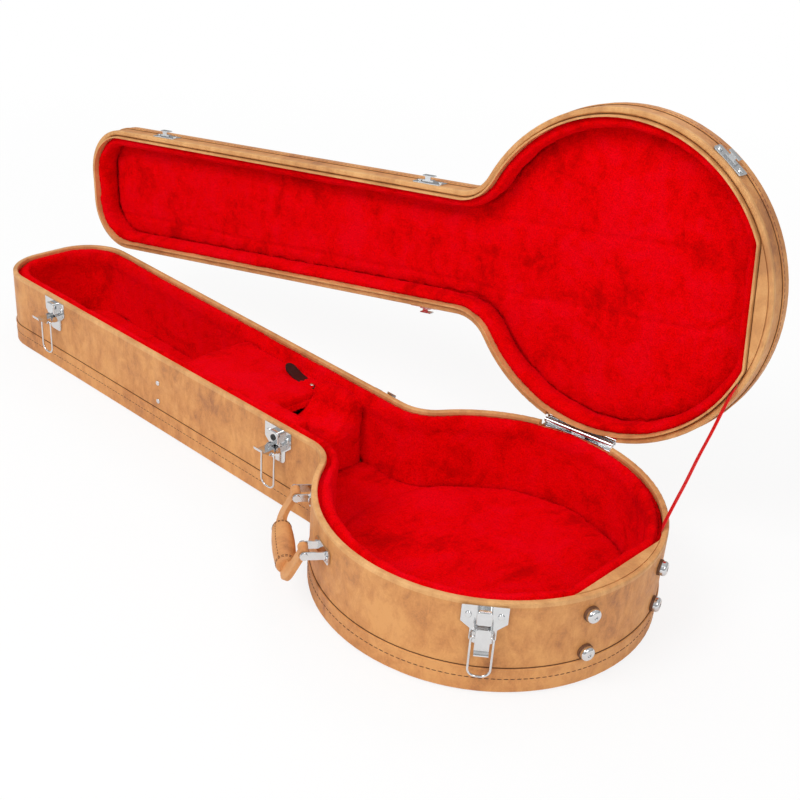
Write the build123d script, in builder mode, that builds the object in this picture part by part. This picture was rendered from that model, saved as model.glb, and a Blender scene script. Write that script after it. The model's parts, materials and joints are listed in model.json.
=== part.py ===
from build123d import *
import os
from math import cos, degrees, radians, sin, sqrt

os.makedirs("parts", exist_ok=True)

# Outline seen from above: a round bowl, a waist on each side, and a neck that widens to its end
bowl_radius = 190.0
neck_length = 874.0
neck_end_half_width = 89.0
neck_heel_half_width = 75.8
waist_radius = 46.0
neck_corner_radius = 66.0

# Heights: the base stands on the floor, and the lid closes on top of it
base_height = 108.0
lid_height = 42.0
panel_thickness = 5.0
wall_thickness = 5.0
panel_edge_radius = 3.0

# Stitched bands round both edges, and the welts that cap both rims
band_thickness = 1.2
base_band_low = 3.0
base_band_high = 31.0
lid_band_height = 15.0
lid_band_inset = 4.0
welt_width = 6.6
welt_height = 5.0
welt_edge_radius = 1.8
rim_gap = 0.3

# The lid's inner lip reaches down inside the base rim
lip_gap = 1.4
lip_thickness = 2.2
lip_reach = 4.0
lip_height = 13.0

# Flat stiffening blocks inside the tail, which carry the tail feet
tail_block_depth = 20.0
tail_corner_radius = 12.0

# Plush linings
lining_depth = 17.0
lining_top_gap = 0.4
roll_depth = 20.0
roll_height = 17.0
roll_crown_gap = 0.6
roll_edge_radius = 3.6
roll_lip_gap = 1.4
floor_lining_thickness = 4.0
floor_pad_inset = 22.0
floor_pad_edge_height = 5.0
floor_pad_crown = 4.0
floor_pad_edge_radius = 1.5
lining_clearance = 1.0
lid_pad_thickness = 6.0
lid_pad_edge_radius = 2.5

# Accessory compartment in the neck, between a partition and the padded cradle
partition_x = -486.0
partition_thickness = 10.0
accessory_lid_low = 80.0
accessory_lid_thickness = 6.0
accessory_lid_crown = 2.0
accessory_lid_side_gap = 1.0
accessory_lid_end_gap = 2.0
accessory_hinge_radius = 1.8
accessory_hinge_gap = 1.2
accessory_rest_gap = 0.6
accessory_flap_height = 14.0
ledge_length = 12.0
ledge_height = 9.0
cradle_start_x = -318.0
cradle_end_x = -252.0
cradle_height = 100.0
cradle_valley_radius = 33.0
cradle_edge_radius = 7.0
cradle_side_gap = 0.4

# Leather pull tab on the accessory lid
tab_rivet_from_edge = 10.0
tab_y = 42.0
tab_width = 16.0
tab_thickness = 2.2
tab_length = 48.0
tab_lift = 12.0
tab_rivet_radius = 3.2
tab_rivet_height = 1.6

# Lid hinge behind the bowl, and how far the photographed lid stands open
hinge_turn = 6.9
hinge_inset = 2.3
hinge_drop = 0.5
hinge_length = 92.0
hinge_recess_clearance = 2.0
hinge_recess_half_height = 6.0
hinge_recess_half_depth = 12.0
hinge_knuckle_radius = 3.0
hinge_pin_radius = 1.5
hinge_pin_clearance = 0.05
hinge_knuckles = 5
hinge_knuckle_gap = 0.4
leaf_thickness = 1.2
leaf_height = 12.0
hinge_rivet_radius = 2.2
hinge_rivet_height = 1.0
hinge_rivet_spacing = 26.0
lid_open_angle = 94.0

# Draw latches, three with their levers open and one closed, and their keepers on the lid
latch_from_neck_end = 156.0
latch_waist_x = -255.0
latch_bowl_angle = -50.0
latch_plate_width = 45.0
latch_plate_thickness = 1.2
latch_plate_top_drop = 3.5
latch_plate_height = 44.0
latch_shoulder_height = 19.0
latch_neck_height = 27.0
latch_foot_width = 26.0
latch_corner_radius = 2.5
latch_screw_x = 15.5
latch_screw_drop = 11.0
cover_width = 15.0
cover_height = 16.0
cover_reach = 8.5
lever_pin_drop = 24.5
lever_pin_reach = 8.0
lever_pin_radius = 1.5
lever_width = 14.4
lever_sheet = 1.2
lever_length = 23.0
lever_head = 4.0
lever_reach = 11.2
lever_flange_depth = 7.0
lever_tip_height = 6.0
lever_clearance = 0.6
lever_hole_clearance = 0.05
lever_open_angle = 90.0
tab_curl_reach = 5.0
tab_curl_drop = 4.0
ear_thickness = 1.2
ear_radius = 3.8
bail_pivot_drop = 8.0
bail_pivot_inset = 1.7
bail_length = 47.0
bail_half_width = 11.0
bail_wire_radius = 1.3
bail_end_x = 5.4
bail_corner_radius = 9.0
bail_end_radius = 3.5
lock_radius = 4.0
lock_proud = 0.8
keeper_width = 42.0
keeper_height = 18.0
keeper_rim_gap = 3.5
keeper_sheet = 1.2
hook_width = 16.0
hook_neck_width = 8.0
hook_shelf = 1.6
hook_lip = 1.4
hook_lip_height = 5.6
hook_clearance = 0.3
keeper_boss_height = 6.5
keeper_boss_reach = 4.0

# Screws and rivets
screw_head_radius = 3.3
screw_head_height = 1.6
screw_shank_radius = 1.6
partition_rivet_radius = 3.4
partition_rivet_heights = (43.0, 69.0)

# Carrying handle on the bowl's front, beside the waist
handle_angle = -127.0
handle_bracket_turn = 16.5
handle_pin_reach = 20.0
handle_pin_height = 80.0
handle_pin_radius = 2.5
handle_pin_head_radius = 4.2
handle_pin_head_thickness = 1.5
handle_pin_clearance = 0.05
bracket_width = 36.0
bracket_height = 17.0
bracket_sheet = 1.5
bracket_screw_x = 15.2
bracket_screw_radius = 2.6
arm_half_gap = 9.2
arm_height = 9.0
loop_half_width = 8.2
loop_radius = 5.5
strap_thickness = 5.0
strap_drop = 35.0
strap_bar_height = 16.0
strap_outer_corner = 17.0
strap_inner_corner = 8.0
grip_half_length = 37.0
grip_radius = 12.5
grip_end_radius = 10.0
grip_edge_radius = 3.0
handle_hang_angle = 27.0

# Feet on the tail
foot_angle = 17.7
foot_heights = (40.5, 86.0)
foot_radius = 7.8
foot_height = 6.0
foot_edge_height = 2.5
foot_screw_radius = 2.2
washer_radius = 8.5
washer_thickness = 3.0

# Ribbon that stops the lid
ribbon_angle = 30.0
ribbon_width = 16.0
ribbon_thickness = 0.8
ribbon_gap = 0.3
clip_width = 16.0
clip_gap = 0.2
clip_thickness = 0.9

# Levels and depths that follow from the sizes above
lid_top = base_height + lid_height
base_welt_low = base_height - welt_height
lid_rim_low = base_height + rim_gap
lid_welt_high = base_height + welt_height
lid_panel_low = lid_top - panel_thickness
lip_outer = welt_width + lip_gap
lip_inner = lip_outer + lip_thickness
roll_outer = lip_inner + roll_lip_gap
lining_top = base_welt_low - lining_top_gap
base_roll_top = base_height - roll_crown_gap
lid_roll_low = base_height + roll_crown_gap
floor_top = panel_thickness + floor_lining_thickness
tail_face_x = bowl_radius - tail_block_depth
floor_pad_radius = bowl_radius - floor_pad_inset
latch_neck_end_x = latch_from_neck_end - neck_length
accessory_lid_depth = roll_depth + accessory_lid_side_gap
side_slope = (neck_heel_half_width - neck_end_half_width) / (neck_length - bowl_radius)
side_along = Vector(1, side_slope).normalized()
side_across = Vector(-side_along.Y, side_along.X)
up = Vector(0, 0, 1)


def side_half_width(x):
    """Half the width of the neck at x, from its straight side."""
    return neck_end_half_width + side_slope * (x + neck_length)


def case_face(grow, flat_tail=False):
    """The case outline as a face, grown by an amount, with the tail cut flat if wanted."""
    reach = bowl_radius + waist_radius
    start = Vector(-neck_length, neck_end_half_width) + side_across * waist_radius
    run = start.dot(side_along)
    waist = start + side_along * (-run - sqrt(run**2 - start.dot(start) + reach**2))
    towards_bowl = waist.normalized()
    corner_x = neck_corner_radius - neck_length
    corner = Vector(corner_x, side_half_width(corner_x) - neck_corner_radius / side_along.X)
    corner_reach = neck_corner_radius + grow
    corner_start = corner - Vector(corner_reach, 0)
    corner_turn = (side_across - Vector(1, 0)).normalized()
    waist_reach = waist_radius - grow
    waist_turn = (side_across + towards_bowl).normalized()
    side_end = waist - side_across * waist_reach
    bowl_start = towards_bowl * (bowl_radius + grow)
    bowl_end = Vector(bowl_radius + grow, 0)
    bowl_turn = (towards_bowl + Vector(1, 0)).normalized()
    tail_x = tail_face_x - max(0.0, -grow - welt_width)
    with BuildSketch() as sketch:
        with BuildLine():
            Line(Vector(corner_start.X, 0), corner_start)
            ThreePointArc(
                corner_start,
                corner + corner_turn * corner_reach,
                corner + side_across * corner_reach,
            )
            Line(corner + side_across * corner_reach, side_end)
            ThreePointArc(side_end, waist - waist_turn * waist_reach, bowl_start)
            ThreePointArc(bowl_start, bowl_turn * (bowl_radius + grow), bowl_end)
            mirror(about=Plane.XZ)
        make_face()
        if flat_tail:
            with Locations((tail_x + bowl_radius, 0)):
                Rectangle(2 * bowl_radius, 4 * bowl_radius, mode=Mode.SUBTRACT)
            fillet(sketch.vertices().group_by(Axis.X)[-1], tail_corner_radius)
    return sketch.sketch


def stretch_of_case(depth, low_x, high_x):
    """The part of the case outline, at a depth from the outside, between two places on X."""
    with BuildSketch() as sketch:
        add(case_face(-depth, flat_tail=True))
        with Locations(((low_x + high_x) / 2, 0)):
            Rectangle(high_x - low_x, 4 * bowl_radius, mode=Mode.INTERSECT)
    return sketch.sketch


def wall_plane(point, outward):
    """A frame on the wall: X along the wall, Y outward and Z up."""
    return Plane(origin=point, x_dir=outward.cross(up), z_dir=up)


def neck_plane(x, side):
    """A frame on the neck's side wall, side being 1 behind and -1 in front."""
    return wall_plane(
        Vector(x, side * side_half_width(x), 0), Vector(side_across.X, side * side_across.Y)
    )


def bowl_plane(angle):
    """A frame on the bowl's wall at an angle from the tail."""
    outward = Vector(cos(radians(angle)), sin(radians(angle)))
    return wall_plane(outward * bowl_radius, outward)


def placed(piece, frame):
    """A piece built in a wall frame, put in its place on the case."""
    return piece.moved(frame.location)


hinge_outward = Vector(-sin(radians(hinge_turn)), cos(radians(hinge_turn)))
hinge_along = hinge_outward.cross(up)
hinge_frame = Plane(
    origin=hinge_outward * (bowl_radius - hinge_inset) + up * (base_height - hinge_drop),
    x_dir=hinge_along,
    z_dir=up,
)
hinge_axis = Axis(hinge_frame.origin, hinge_frame.x_dir)


def opened(piece):
    """A lid piece, built as if closed, turned to the photographed open lid."""
    return piece.rotate(hinge_axis, -lid_open_angle)


pieces = {}


def keep(name, piece):
    """Label a finished piece and write it."""
    piece.label = name
    pieces[name] = piece
    export_step(piece, f"parts/{name}.step")


latch_frames = [
    neck_plane(latch_neck_end_x, -1),
    neck_plane(latch_waist_x, -1),
    bowl_plane(latch_bowl_angle),
    neck_plane(latch_waist_x, 1),
]
latch_is_open = [True, True, False, True]
handle_frame = bowl_plane(handle_angle)
bracket_frames = [
    bowl_plane(handle_angle - handle_bracket_turn),
    bowl_plane(handle_angle + handle_bracket_turn),
]
foot_frames = [bowl_plane(side * foot_angle) for side in (-1, 1)]
rivet_frames = [neck_plane(partition_x, side) for side in (-1, 1)]
latch_plate_top = base_height - latch_plate_top_drop
latch_screw_z = latch_plate_top - latch_screw_drop
bail_pivot_y = lever_pin_reach - bail_pivot_inset
lever_pin_z = latch_plate_top - lever_pin_drop
bail_pivot_z = lever_pin_z - bail_pivot_drop
hook_low = bail_pivot_z + bail_length - bail_wire_radius - hook_clearance - hook_shelf
hook_reach = bail_pivot_y + bail_wire_radius + lever_clearance + hook_lip
keeper_low = base_height + keeper_rim_gap
keeper_screw_z = keeper_low + keeper_height / 2


def screw_at(frame, x, z, plate, radius=screw_head_radius, depth=wall_thickness):
    """A dome-headed screw through a plate and the wall behind it."""
    with BuildPart() as screw:
        with BuildSketch(Plane.XZ.offset(-plate)):
            with Locations((x, z)):
                Circle(radius)
        extrude(amount=-screw_head_height)
        fillet(screw.edges().group_by(Axis.Y)[-1], screw_head_height * 0.6)
        with BuildSketch(Plane.XZ.offset(-plate)):
            with Locations((x, z)):
                Circle(screw_shank_radius)
        extrude(amount=plate + depth)
    return placed(screw.part, frame)


def shank_hole(frame, x, z, depth=wall_thickness):
    """The hole that a screw shank needs in the wall."""
    with BuildPart() as hole:
        with BuildSketch(Plane.XZ.offset(depth + 1)):
            with Locations((x, z)):
                Circle(screw_shank_radius)
        extrude(amount=-(depth + 2 + bracket_sheet))
    return placed(hole.part, frame)


latch_screws = [
    screw_at(frame, side * latch_screw_x, latch_screw_z, latch_plate_thickness)
    for frame in latch_frames
    for side in (-1, 1)
]
bracket_screws = [
    screw_at(frame, side * bracket_screw_x, handle_pin_height, bracket_sheet, bracket_screw_radius)
    for frame in bracket_frames
    for side in (-1, 1)
]
keeper_screws = [
    screw_at(frame, side * latch_screw_x, keeper_screw_z, keeper_sheet)
    for frame in latch_frames
    for side in (-1, 1)
]
base_holes = [
    shank_hole(frame, side * latch_screw_x, latch_screw_z)
    for frame in latch_frames
    for side in (-1, 1)
]
base_holes += [
    shank_hole(frame, side * bracket_screw_x, handle_pin_height)
    for frame in bracket_frames
    for side in (-1, 1)
]
keeper_holes = [
    shank_hole(frame, side * latch_screw_x, keeper_screw_z)
    for frame in latch_frames
    for side in (-1, 1)
]

# Base shell
with BuildPart() as base_bottom_panel:
    with BuildSketch():
        add(case_face(0))
    extrude(amount=panel_thickness)
    fillet(base_bottom_panel.edges().group_by(Axis.Z)[0], panel_edge_radius)
keep("base_bottom_panel", base_bottom_panel.part)

with BuildPart() as base_side_wall:
    with BuildSketch(Plane.XY.offset(panel_thickness)):
        add(case_face(0))
        add(case_face(-wall_thickness), mode=Mode.SUBTRACT)
    extrude(amount=base_welt_low - panel_thickness)
    with BuildSketch(hinge_frame):
        Rectangle(hinge_length + 2 * hinge_recess_clearance, 2 * hinge_recess_half_depth)
    extrude(amount=hinge_recess_half_height, both=True, mode=Mode.SUBTRACT)
    add(base_holes, mode=Mode.SUBTRACT)
keep("base_side_wall", base_side_wall.part)

with BuildPart() as base_band:
    with BuildSketch(Plane.XY.offset(base_band_low)):
        add(case_face(band_thickness))
        add(case_face(0), mode=Mode.SUBTRACT)
    extrude(amount=base_band_high - base_band_low)
keep("base_band", base_band.part)

with BuildPart() as base_rim_welt:
    with BuildSketch(Plane.XY.offset(base_welt_low)):
        add(case_face(0))
        add(case_face(-welt_width), mode=Mode.SUBTRACT)
    extrude(amount=welt_height)
    fillet(base_rim_welt.edges().group_by(Axis.Z)[-1], welt_edge_radius)
    with BuildSketch(hinge_frame):
        Rectangle(hinge_length + 2 * hinge_recess_clearance, 2 * hinge_recess_half_depth)
    extrude(amount=hinge_recess_half_height, both=True, mode=Mode.SUBTRACT)
keep("base_rim_welt", base_rim_welt.part)

with BuildPart() as base_tail_block:
    with BuildSketch(Plane.XY.offset(panel_thickness)):
        add(case_face(-wall_thickness))
        add(case_face(-wall_thickness, flat_tail=True), mode=Mode.SUBTRACT)
    extrude(amount=base_welt_low - panel_thickness)
    with BuildSketch(Plane.XY.offset(base_welt_low)):
        add(case_face(-welt_width))
        add(case_face(-welt_width, flat_tail=True), mode=Mode.SUBTRACT)
    extrude(amount=welt_height)
keep("base_tail_block", base_tail_block.part)

# Base linings: plush on the walls with a rounded roll along the rim, and on the floors
with BuildPart() as base_wall_lining:
    with BuildSketch(Plane.XY.offset(panel_thickness)):
        add(case_face(-wall_thickness, flat_tail=True))
        add(case_face(-lining_depth, flat_tail=True), mode=Mode.SUBTRACT)
    extrude(amount=lining_top - panel_thickness)
    with BuildSketch(Plane.XY.offset(base_roll_top - roll_height)):
        add(case_face(-roll_outer, flat_tail=True))
        add(case_face(-roll_depth, flat_tail=True), mode=Mode.SUBTRACT)
    extrude(amount=roll_height)
    fillet(base_wall_lining.edges().group_by(Axis.Z)[-1], roll_edge_radius)
keep("base_wall_lining", base_wall_lining.part)

partition_low_x = partition_x - partition_thickness / 2
partition_high_x = partition_x + partition_thickness / 2

with BuildPart() as neck_floor_lining:
    with BuildSketch(Plane.XY.offset(panel_thickness)):
        add(stretch_of_case(lining_depth, -neck_length, partition_low_x))
    extrude(amount=floor_lining_thickness)
keep("neck_floor_lining", neck_floor_lining.part)

with BuildPart() as accessory_floor_lining:
    with BuildSketch(Plane.XY.offset(panel_thickness)):
        add(stretch_of_case(lining_depth, partition_high_x, cradle_start_x))
    extrude(amount=floor_lining_thickness)
keep("accessory_floor_lining", accessory_floor_lining.part)

with BuildPart() as bowl_floor_lining:
    with BuildSketch(Plane.XY.offset(panel_thickness)):
        add(stretch_of_case(lining_depth, cradle_end_x, bowl_radius))
    extrude(amount=floor_lining_thickness)
keep("bowl_floor_lining", bowl_floor_lining.part)

with BuildPart() as bowl_floor_pad:
    with BuildSketch(Plane.XY.offset(floor_top)):
        add(case_face(-lining_depth - lining_clearance, flat_tail=True))
        Circle(floor_pad_radius, mode=Mode.INTERSECT)
    extrude(amount=floor_pad_edge_height + floor_pad_crown)
    pad_dome_radius = (floor_pad_radius**2 + floor_pad_crown**2) / (2 * floor_pad_crown)
    with Locations((0, 0, floor_top + floor_pad_edge_height + floor_pad_crown - pad_dome_radius)):
        Sphere(pad_dome_radius, mode=Mode.INTERSECT)
    fillet(bowl_floor_pad.edges().group_by(Axis.Z)[0], floor_pad_edge_radius)
keep("bowl_floor_pad", bowl_floor_pad.part)

# Accessory compartment
with BuildPart() as accessory_partition:
    with BuildSketch(Plane.XY.offset(panel_thickness)):
        add(stretch_of_case(lining_depth, partition_low_x, partition_high_x))
    extrude(amount=accessory_lid_low - accessory_rest_gap - panel_thickness)
keep("accessory_partition", accessory_partition.part)

with BuildPart() as accessory_lid_ledge:
    with BuildSketch(Plane.XY.offset(accessory_lid_low - accessory_rest_gap - ledge_height)):
        add(stretch_of_case(lining_depth, cradle_start_x - ledge_length, cradle_start_x))
    extrude(amount=ledge_height)
keep("accessory_lid_ledge", accessory_lid_ledge.part)

with BuildPart() as neck_cradle:
    with BuildSketch(Plane.XY.offset(panel_thickness)):
        add(stretch_of_case(roll_depth + cradle_side_gap, cradle_start_x, cradle_end_x))
    extrude(amount=cradle_height - panel_thickness)
    with BuildSketch(Plane.YZ.offset(cradle_start_x)):
        with Locations((0, cradle_height)):
            Circle(cradle_valley_radius)
    extrude(amount=cradle_end_x - cradle_start_x, mode=Mode.SUBTRACT)
    fillet(neck_cradle.edges().group_by(Axis.Z)[-1], cradle_edge_radius)
keep("neck_cradle", neck_cradle.part)

accessory_axis_x = partition_x
accessory_axis_z = accessory_lid_low + accessory_lid_thickness / 3
accessory_lid_low_x = accessory_axis_x + accessory_hinge_radius + accessory_hinge_gap
accessory_lid_high_x = cradle_start_x - accessory_lid_end_gap
accessory_lid_top = accessory_lid_low + accessory_lid_thickness + accessory_lid_crown
accessory_half_width = side_half_width(partition_x) - accessory_lid_depth

with BuildPart() as accessory_lid:
    with BuildSketch(Plane.XY.offset(accessory_lid_low)):
        add(stretch_of_case(accessory_lid_depth, accessory_lid_low_x, accessory_lid_high_x))
    extrude(amount=accessory_lid_thickness + accessory_lid_crown)
    fillet(accessory_lid.edges().group_by(Axis.Z)[-1], accessory_lid_crown)
keep("accessory_lid", accessory_lid.part)

with BuildPart() as accessory_hinge_cloth:
    with BuildSketch(Plane.XZ.offset(-accessory_half_width)):
        with Locations((accessory_axis_x, accessory_axis_z)):
            Circle(accessory_hinge_radius)
        with Locations((accessory_axis_x - partition_thickness / 2 - 0.5, accessory_axis_z - 0.5)):
            Rectangle(1, 2 * accessory_hinge_radius - 1, align=(Align.CENTER, Align.CENTER))
        with Locations((accessory_axis_x - partition_thickness / 4, accessory_axis_z)):
            Rectangle(partition_thickness / 2 + 1.5, 1)
        with Locations((partition_low_x - 0.5, accessory_axis_z)):
            Rectangle(1, accessory_flap_height, align=(Align.CENTER, Align.MAX))
    extrude(amount=2 * accessory_half_width)
keep("accessory_hinge_cloth", accessory_hinge_cloth.part)

tab_rivet_x = accessory_lid_high_x - tab_rivet_from_edge
tab_low = accessory_lid_top
with BuildPart() as pull_tab:
    with BuildSketch(Plane.XZ.offset(-tab_y)):
        with BuildLine():
            far = tab_rivet_x - tab_length
            near = tab_rivet_x + tab_width / 2
            bend = tab_rivet_x - tab_width / 2
            Line((near, tab_low), (bend, tab_low))
            ThreePointArc(
                (bend, tab_low),
                ((bend + far) / 2, tab_low + tab_lift / 4),
                (far, tab_low + tab_lift),
            )
            Line((far, tab_low + tab_lift), (far, tab_low + tab_lift + tab_thickness))
            ThreePointArc(
                (far, tab_low + tab_lift + tab_thickness),
                ((bend + far) / 2, tab_low + tab_lift / 4 + tab_thickness),
                (bend, tab_low + tab_thickness),
            )
            Line((bend, tab_low + tab_thickness), (near, tab_low + tab_thickness))
            Line((near, tab_low + tab_thickness), (near, tab_low))
        make_face()
    extrude(amount=tab_width / 2, both=True)
    with BuildSketch(Plane.XY.offset(tab_low)):
        with Locations(((near + far) / 2, tab_y)):
            SlotOverall(near - far, tab_width)
    extrude(amount=tab_lift + tab_thickness, mode=Mode.INTERSECT)
    with Locations((tab_rivet_x, tab_y, tab_low)):
        Cylinder(
            tab_rivet_radius / 2,
            tab_thickness,
            align=(Align.CENTER, Align.CENTER, Align.MIN),
            mode=Mode.SUBTRACT,
        )
keep("pull_tab", pull_tab.part)

with BuildPart() as pull_tab_rivet:
    with BuildSketch(Plane.XY.offset(tab_low)):
        with Locations((tab_rivet_x, tab_y)):
            Circle(tab_rivet_radius / 2)
    extrude(amount=tab_thickness)
    with BuildSketch(Plane.XY.offset(tab_low + tab_thickness)):
        with Locations((tab_rivet_x, tab_y)):
            Circle(tab_rivet_radius)
    extrude(amount=tab_rivet_height)
    fillet(pull_tab_rivet.edges().group_by(Axis.Z)[-1], tab_rivet_height * 0.6)
keep("pull_tab_rivet", pull_tab_rivet.part)

with BuildPart() as partition_rivet:
    for z in partition_rivet_heights:
        with BuildSketch(Plane.XZ):
            with Locations((0, z)):
                Circle(partition_rivet_radius)
        extrude(amount=-screw_head_height)
    fillet(partition_rivet.edges().group_by(Axis.Y)[-1], screw_head_height * 0.6)
keep("partition_rivets", Compound([placed(partition_rivet.part, f) for f in rivet_frames]))

# Feet on the tail, each on a leather washer
with BuildPart() as tail_foot_washer:
    for z in foot_heights:
        with BuildSketch(Plane.XZ):
            with Locations((0, z)):
                Circle(washer_radius)
        extrude(amount=-washer_thickness)
keep("tail_foot_washers", Compound([placed(tail_foot_washer.part, f) for f in foot_frames]))

with BuildPart() as tail_foot:
    for z in foot_heights:
        with BuildSketch(Plane.XZ.offset(-washer_thickness)):
            with Locations((0, z)):
                Circle(foot_radius)
        extrude(amount=-foot_height)
    fillet(tail_foot.edges().group_by(Axis.Y)[-1], foot_height - foot_edge_height)
    for z in foot_heights:
        with BuildSketch(Plane.XZ.offset(-washer_thickness - foot_height)):
            with Locations((0, z)):
                Circle(foot_screw_radius)
        extrude(amount=1, mode=Mode.SUBTRACT)
keep("tail_feet", Compound([placed(tail_foot.part, f) for f in foot_frames]))

# Lid shell, built closed and then opened
with BuildPart() as lid_top_panel:
    with BuildSketch(Plane.XY.offset(lid_panel_low)):
        add(case_face(0))
    extrude(amount=panel_thickness)
    fillet(lid_top_panel.edges().group_by(Axis.Z)[-1], panel_edge_radius)
keep("lid_top_panel", opened(lid_top_panel.part))

with BuildPart() as lid_side_wall:
    with BuildSketch(Plane.XY.offset(lid_welt_high)):
        add(case_face(0))
        add(case_face(-wall_thickness), mode=Mode.SUBTRACT)
    extrude(amount=lid_panel_low - lid_welt_high)
    with BuildSketch(hinge_frame):
        Rectangle(hinge_length + 2 * hinge_recess_clearance, 2 * hinge_recess_half_depth)
    extrude(amount=hinge_recess_half_height, both=True, mode=Mode.SUBTRACT)
    add(keeper_holes, mode=Mode.SUBTRACT)
keep("lid_side_wall", opened(lid_side_wall.part))

with BuildPart() as lid_band:
    with BuildSketch(Plane.XY.offset(lid_top - lid_band_inset - lid_band_height)):
        add(case_face(band_thickness))
        add(case_face(0), mode=Mode.SUBTRACT)
    extrude(amount=lid_band_height)
keep("lid_band", opened(lid_band.part))

with BuildPart() as lid_rim_welt:
    with BuildSketch(Plane.XY.offset(lid_rim_low)):
        add(case_face(0))
        add(case_face(-welt_width), mode=Mode.SUBTRACT)
    extrude(amount=lid_welt_high - lid_rim_low)
    fillet(lid_rim_welt.edges().group_by(Axis.Z)[0], welt_edge_radius)
    with BuildSketch(hinge_frame):
        Rectangle(hinge_length + 2 * hinge_recess_clearance, 2 * hinge_recess_half_depth)
    extrude(amount=hinge_recess_half_height, both=True, mode=Mode.SUBTRACT)
keep("lid_rim_welt", opened(lid_rim_welt.part))

with BuildPart() as lid_lip:
    with BuildSketch(Plane.XY.offset(base_height - lip_reach)):
        add(case_face(-lip_outer, flat_tail=True))
        add(case_face(-lip_inner, flat_tail=True), mode=Mode.SUBTRACT)
    extrude(amount=lip_reach + lip_height)
    with BuildSketch(Plane.XY.offset(base_height + hinge_recess_half_height)):
        add(case_face(-wall_thickness, flat_tail=True))
        add(case_face(-lip_inner, flat_tail=True), mode=Mode.SUBTRACT)
    extrude(amount=lip_height - hinge_recess_half_height)
keep("lid_lip", opened(lid_lip.part))

with BuildPart() as lid_tail_block:
    with BuildSketch(Plane.XY.offset(lid_welt_high)):
        add(case_face(-wall_thickness))
        add(case_face(-wall_thickness, flat_tail=True), mode=Mode.SUBTRACT)
    extrude(amount=lid_panel_low - lid_welt_high)
    with BuildSketch(Plane.XY.offset(lid_rim_low)):
        add(case_face(-welt_width))
        add(case_face(-welt_width, flat_tail=True), mode=Mode.SUBTRACT)
    extrude(amount=lid_welt_high - lid_rim_low)
keep("lid_tail_block", opened(lid_tail_block.part))

with BuildPart() as lid_wall_lining:
    with BuildSketch(Plane.XY.offset(base_height + lip_height)):
        add(case_face(-wall_thickness, flat_tail=True))
        add(case_face(-lining_depth, flat_tail=True), mode=Mode.SUBTRACT)
    extrude(amount=lid_panel_low - base_height - lip_height)
    with BuildSketch(Plane.XY.offset(lid_roll_low)):
        add(case_face(-lip_inner - lining_top_gap, flat_tail=True))
        add(case_face(-roll_depth, flat_tail=True), mode=Mode.SUBTRACT)
    extrude(amount=roll_height)
    fillet(lid_wall_lining.edges().group_by(Axis.Z)[0], roll_edge_radius)
keep("lid_wall_lining", opened(lid_wall_lining.part))

with BuildPart() as lid_top_pad:
    with BuildSketch(Plane.XY.offset(lid_panel_low - lid_pad_thickness)):
        add(case_face(-lining_depth - lining_clearance, flat_tail=True))
    extrude(amount=lid_pad_thickness)
    fillet(lid_top_pad.edges().group_by(Axis.Z)[0], lid_pad_edge_radius)
keep("lid_top_pad", opened(lid_top_pad.part))


# Hinge: two curved leaves, straight knuckles in a recess and one pin
hinge_section = Plane(hinge_frame.origin, x_dir=hinge_outward, z_dir=hinge_along)


def hinge_leaf(side, pin_hole):
    """One leaf in the closed case, side being -1 below the pin and 1 above it."""
    shelf = hinge_frame.offset(side * (hinge_recess_half_height - leaf_thickness))
    knuckle_length = hinge_length / hinge_knuckles
    with BuildPart() as skin:
        with BuildSketch(hinge_frame.offset(side * hinge_recess_half_height)):
            Rectangle(hinge_length, 2 * hinge_recess_half_depth)
        extrude(amount=side * leaf_height)
        with BuildSketch():
            add(case_face(leaf_thickness))
            add(case_face(0), mode=Mode.SUBTRACT)
        extrude(amount=lid_top, mode=Mode.INTERSECT)
    with BuildPart() as leaf:
        with BuildSketch():
            add(case_face(leaf_thickness))
            with Locations((hinge_frame.origin.X, hinge_frame.origin.Y)):
                Rectangle(hinge_length, 2 * leaf_thickness, rotation=hinge_turn)
            add(case_face(-wall_thickness), mode=Mode.SUBTRACT)
        extrude(amount=lid_top)
        with BuildSketch(shelf):
            Rectangle(hinge_length, 2 * hinge_recess_half_depth)
        extrude(amount=side * leaf_thickness, mode=Mode.INTERSECT)
        add(skin.part)
        for i in range((1 + side) // 2, hinge_knuckles, 2):
            x = (i + 0.5) * knuckle_length - hinge_length / 2
            with BuildSketch(hinge_section.offset(x)):
                Circle(hinge_knuckle_radius)
                with Locations((0, side * (hinge_recess_half_height - leaf_thickness / 2) / 2)):
                    Rectangle(leaf_thickness, hinge_recess_half_height - leaf_thickness / 2)
                Circle(pin_hole, mode=Mode.SUBTRACT)
            extrude(amount=(knuckle_length - hinge_knuckle_gap) / 2, both=True)
    return leaf.part


def hinge_rivets(side):
    """Dome-headed rivets on the skin of one leaf."""
    z = side * (hinge_recess_half_height + leaf_height / 2)
    rivets = []
    for i in (-1, 0, 1):
        turn = i * hinge_rivet_spacing / bowl_radius
        outward = hinge_outward.rotate(Axis.Z, degrees(turn))
        frame = wall_plane(outward * bowl_radius + up * (hinge_frame.origin.Z + z), outward)
        with BuildPart() as rivet:
            with BuildSketch(Plane.XZ.offset(-leaf_thickness)):
                Circle(hinge_rivet_radius)
            extrude(amount=-hinge_rivet_height)
            fillet(rivet.edges().group_by(Axis.Y)[-1], hinge_rivet_height * 0.7)
        rivets.append(placed(rivet.part, frame))
    return Compound(rivets)


with BuildPart() as hinge_pin:
    with BuildSketch(hinge_section):
        Circle(hinge_pin_radius)
    extrude(amount=hinge_length / 2, both=True)
keep("hinge_pin", hinge_pin.part)
keep("hinge_base_leaf", hinge_leaf(-1, hinge_pin_radius))
keep("hinge_lid_leaf", opened(hinge_leaf(1, hinge_pin_radius + hinge_pin_clearance)))
keep("hinge_base_rivets", hinge_rivets(-1))
keep("hinge_lid_rivets", opened(hinge_rivets(1)))

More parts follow.
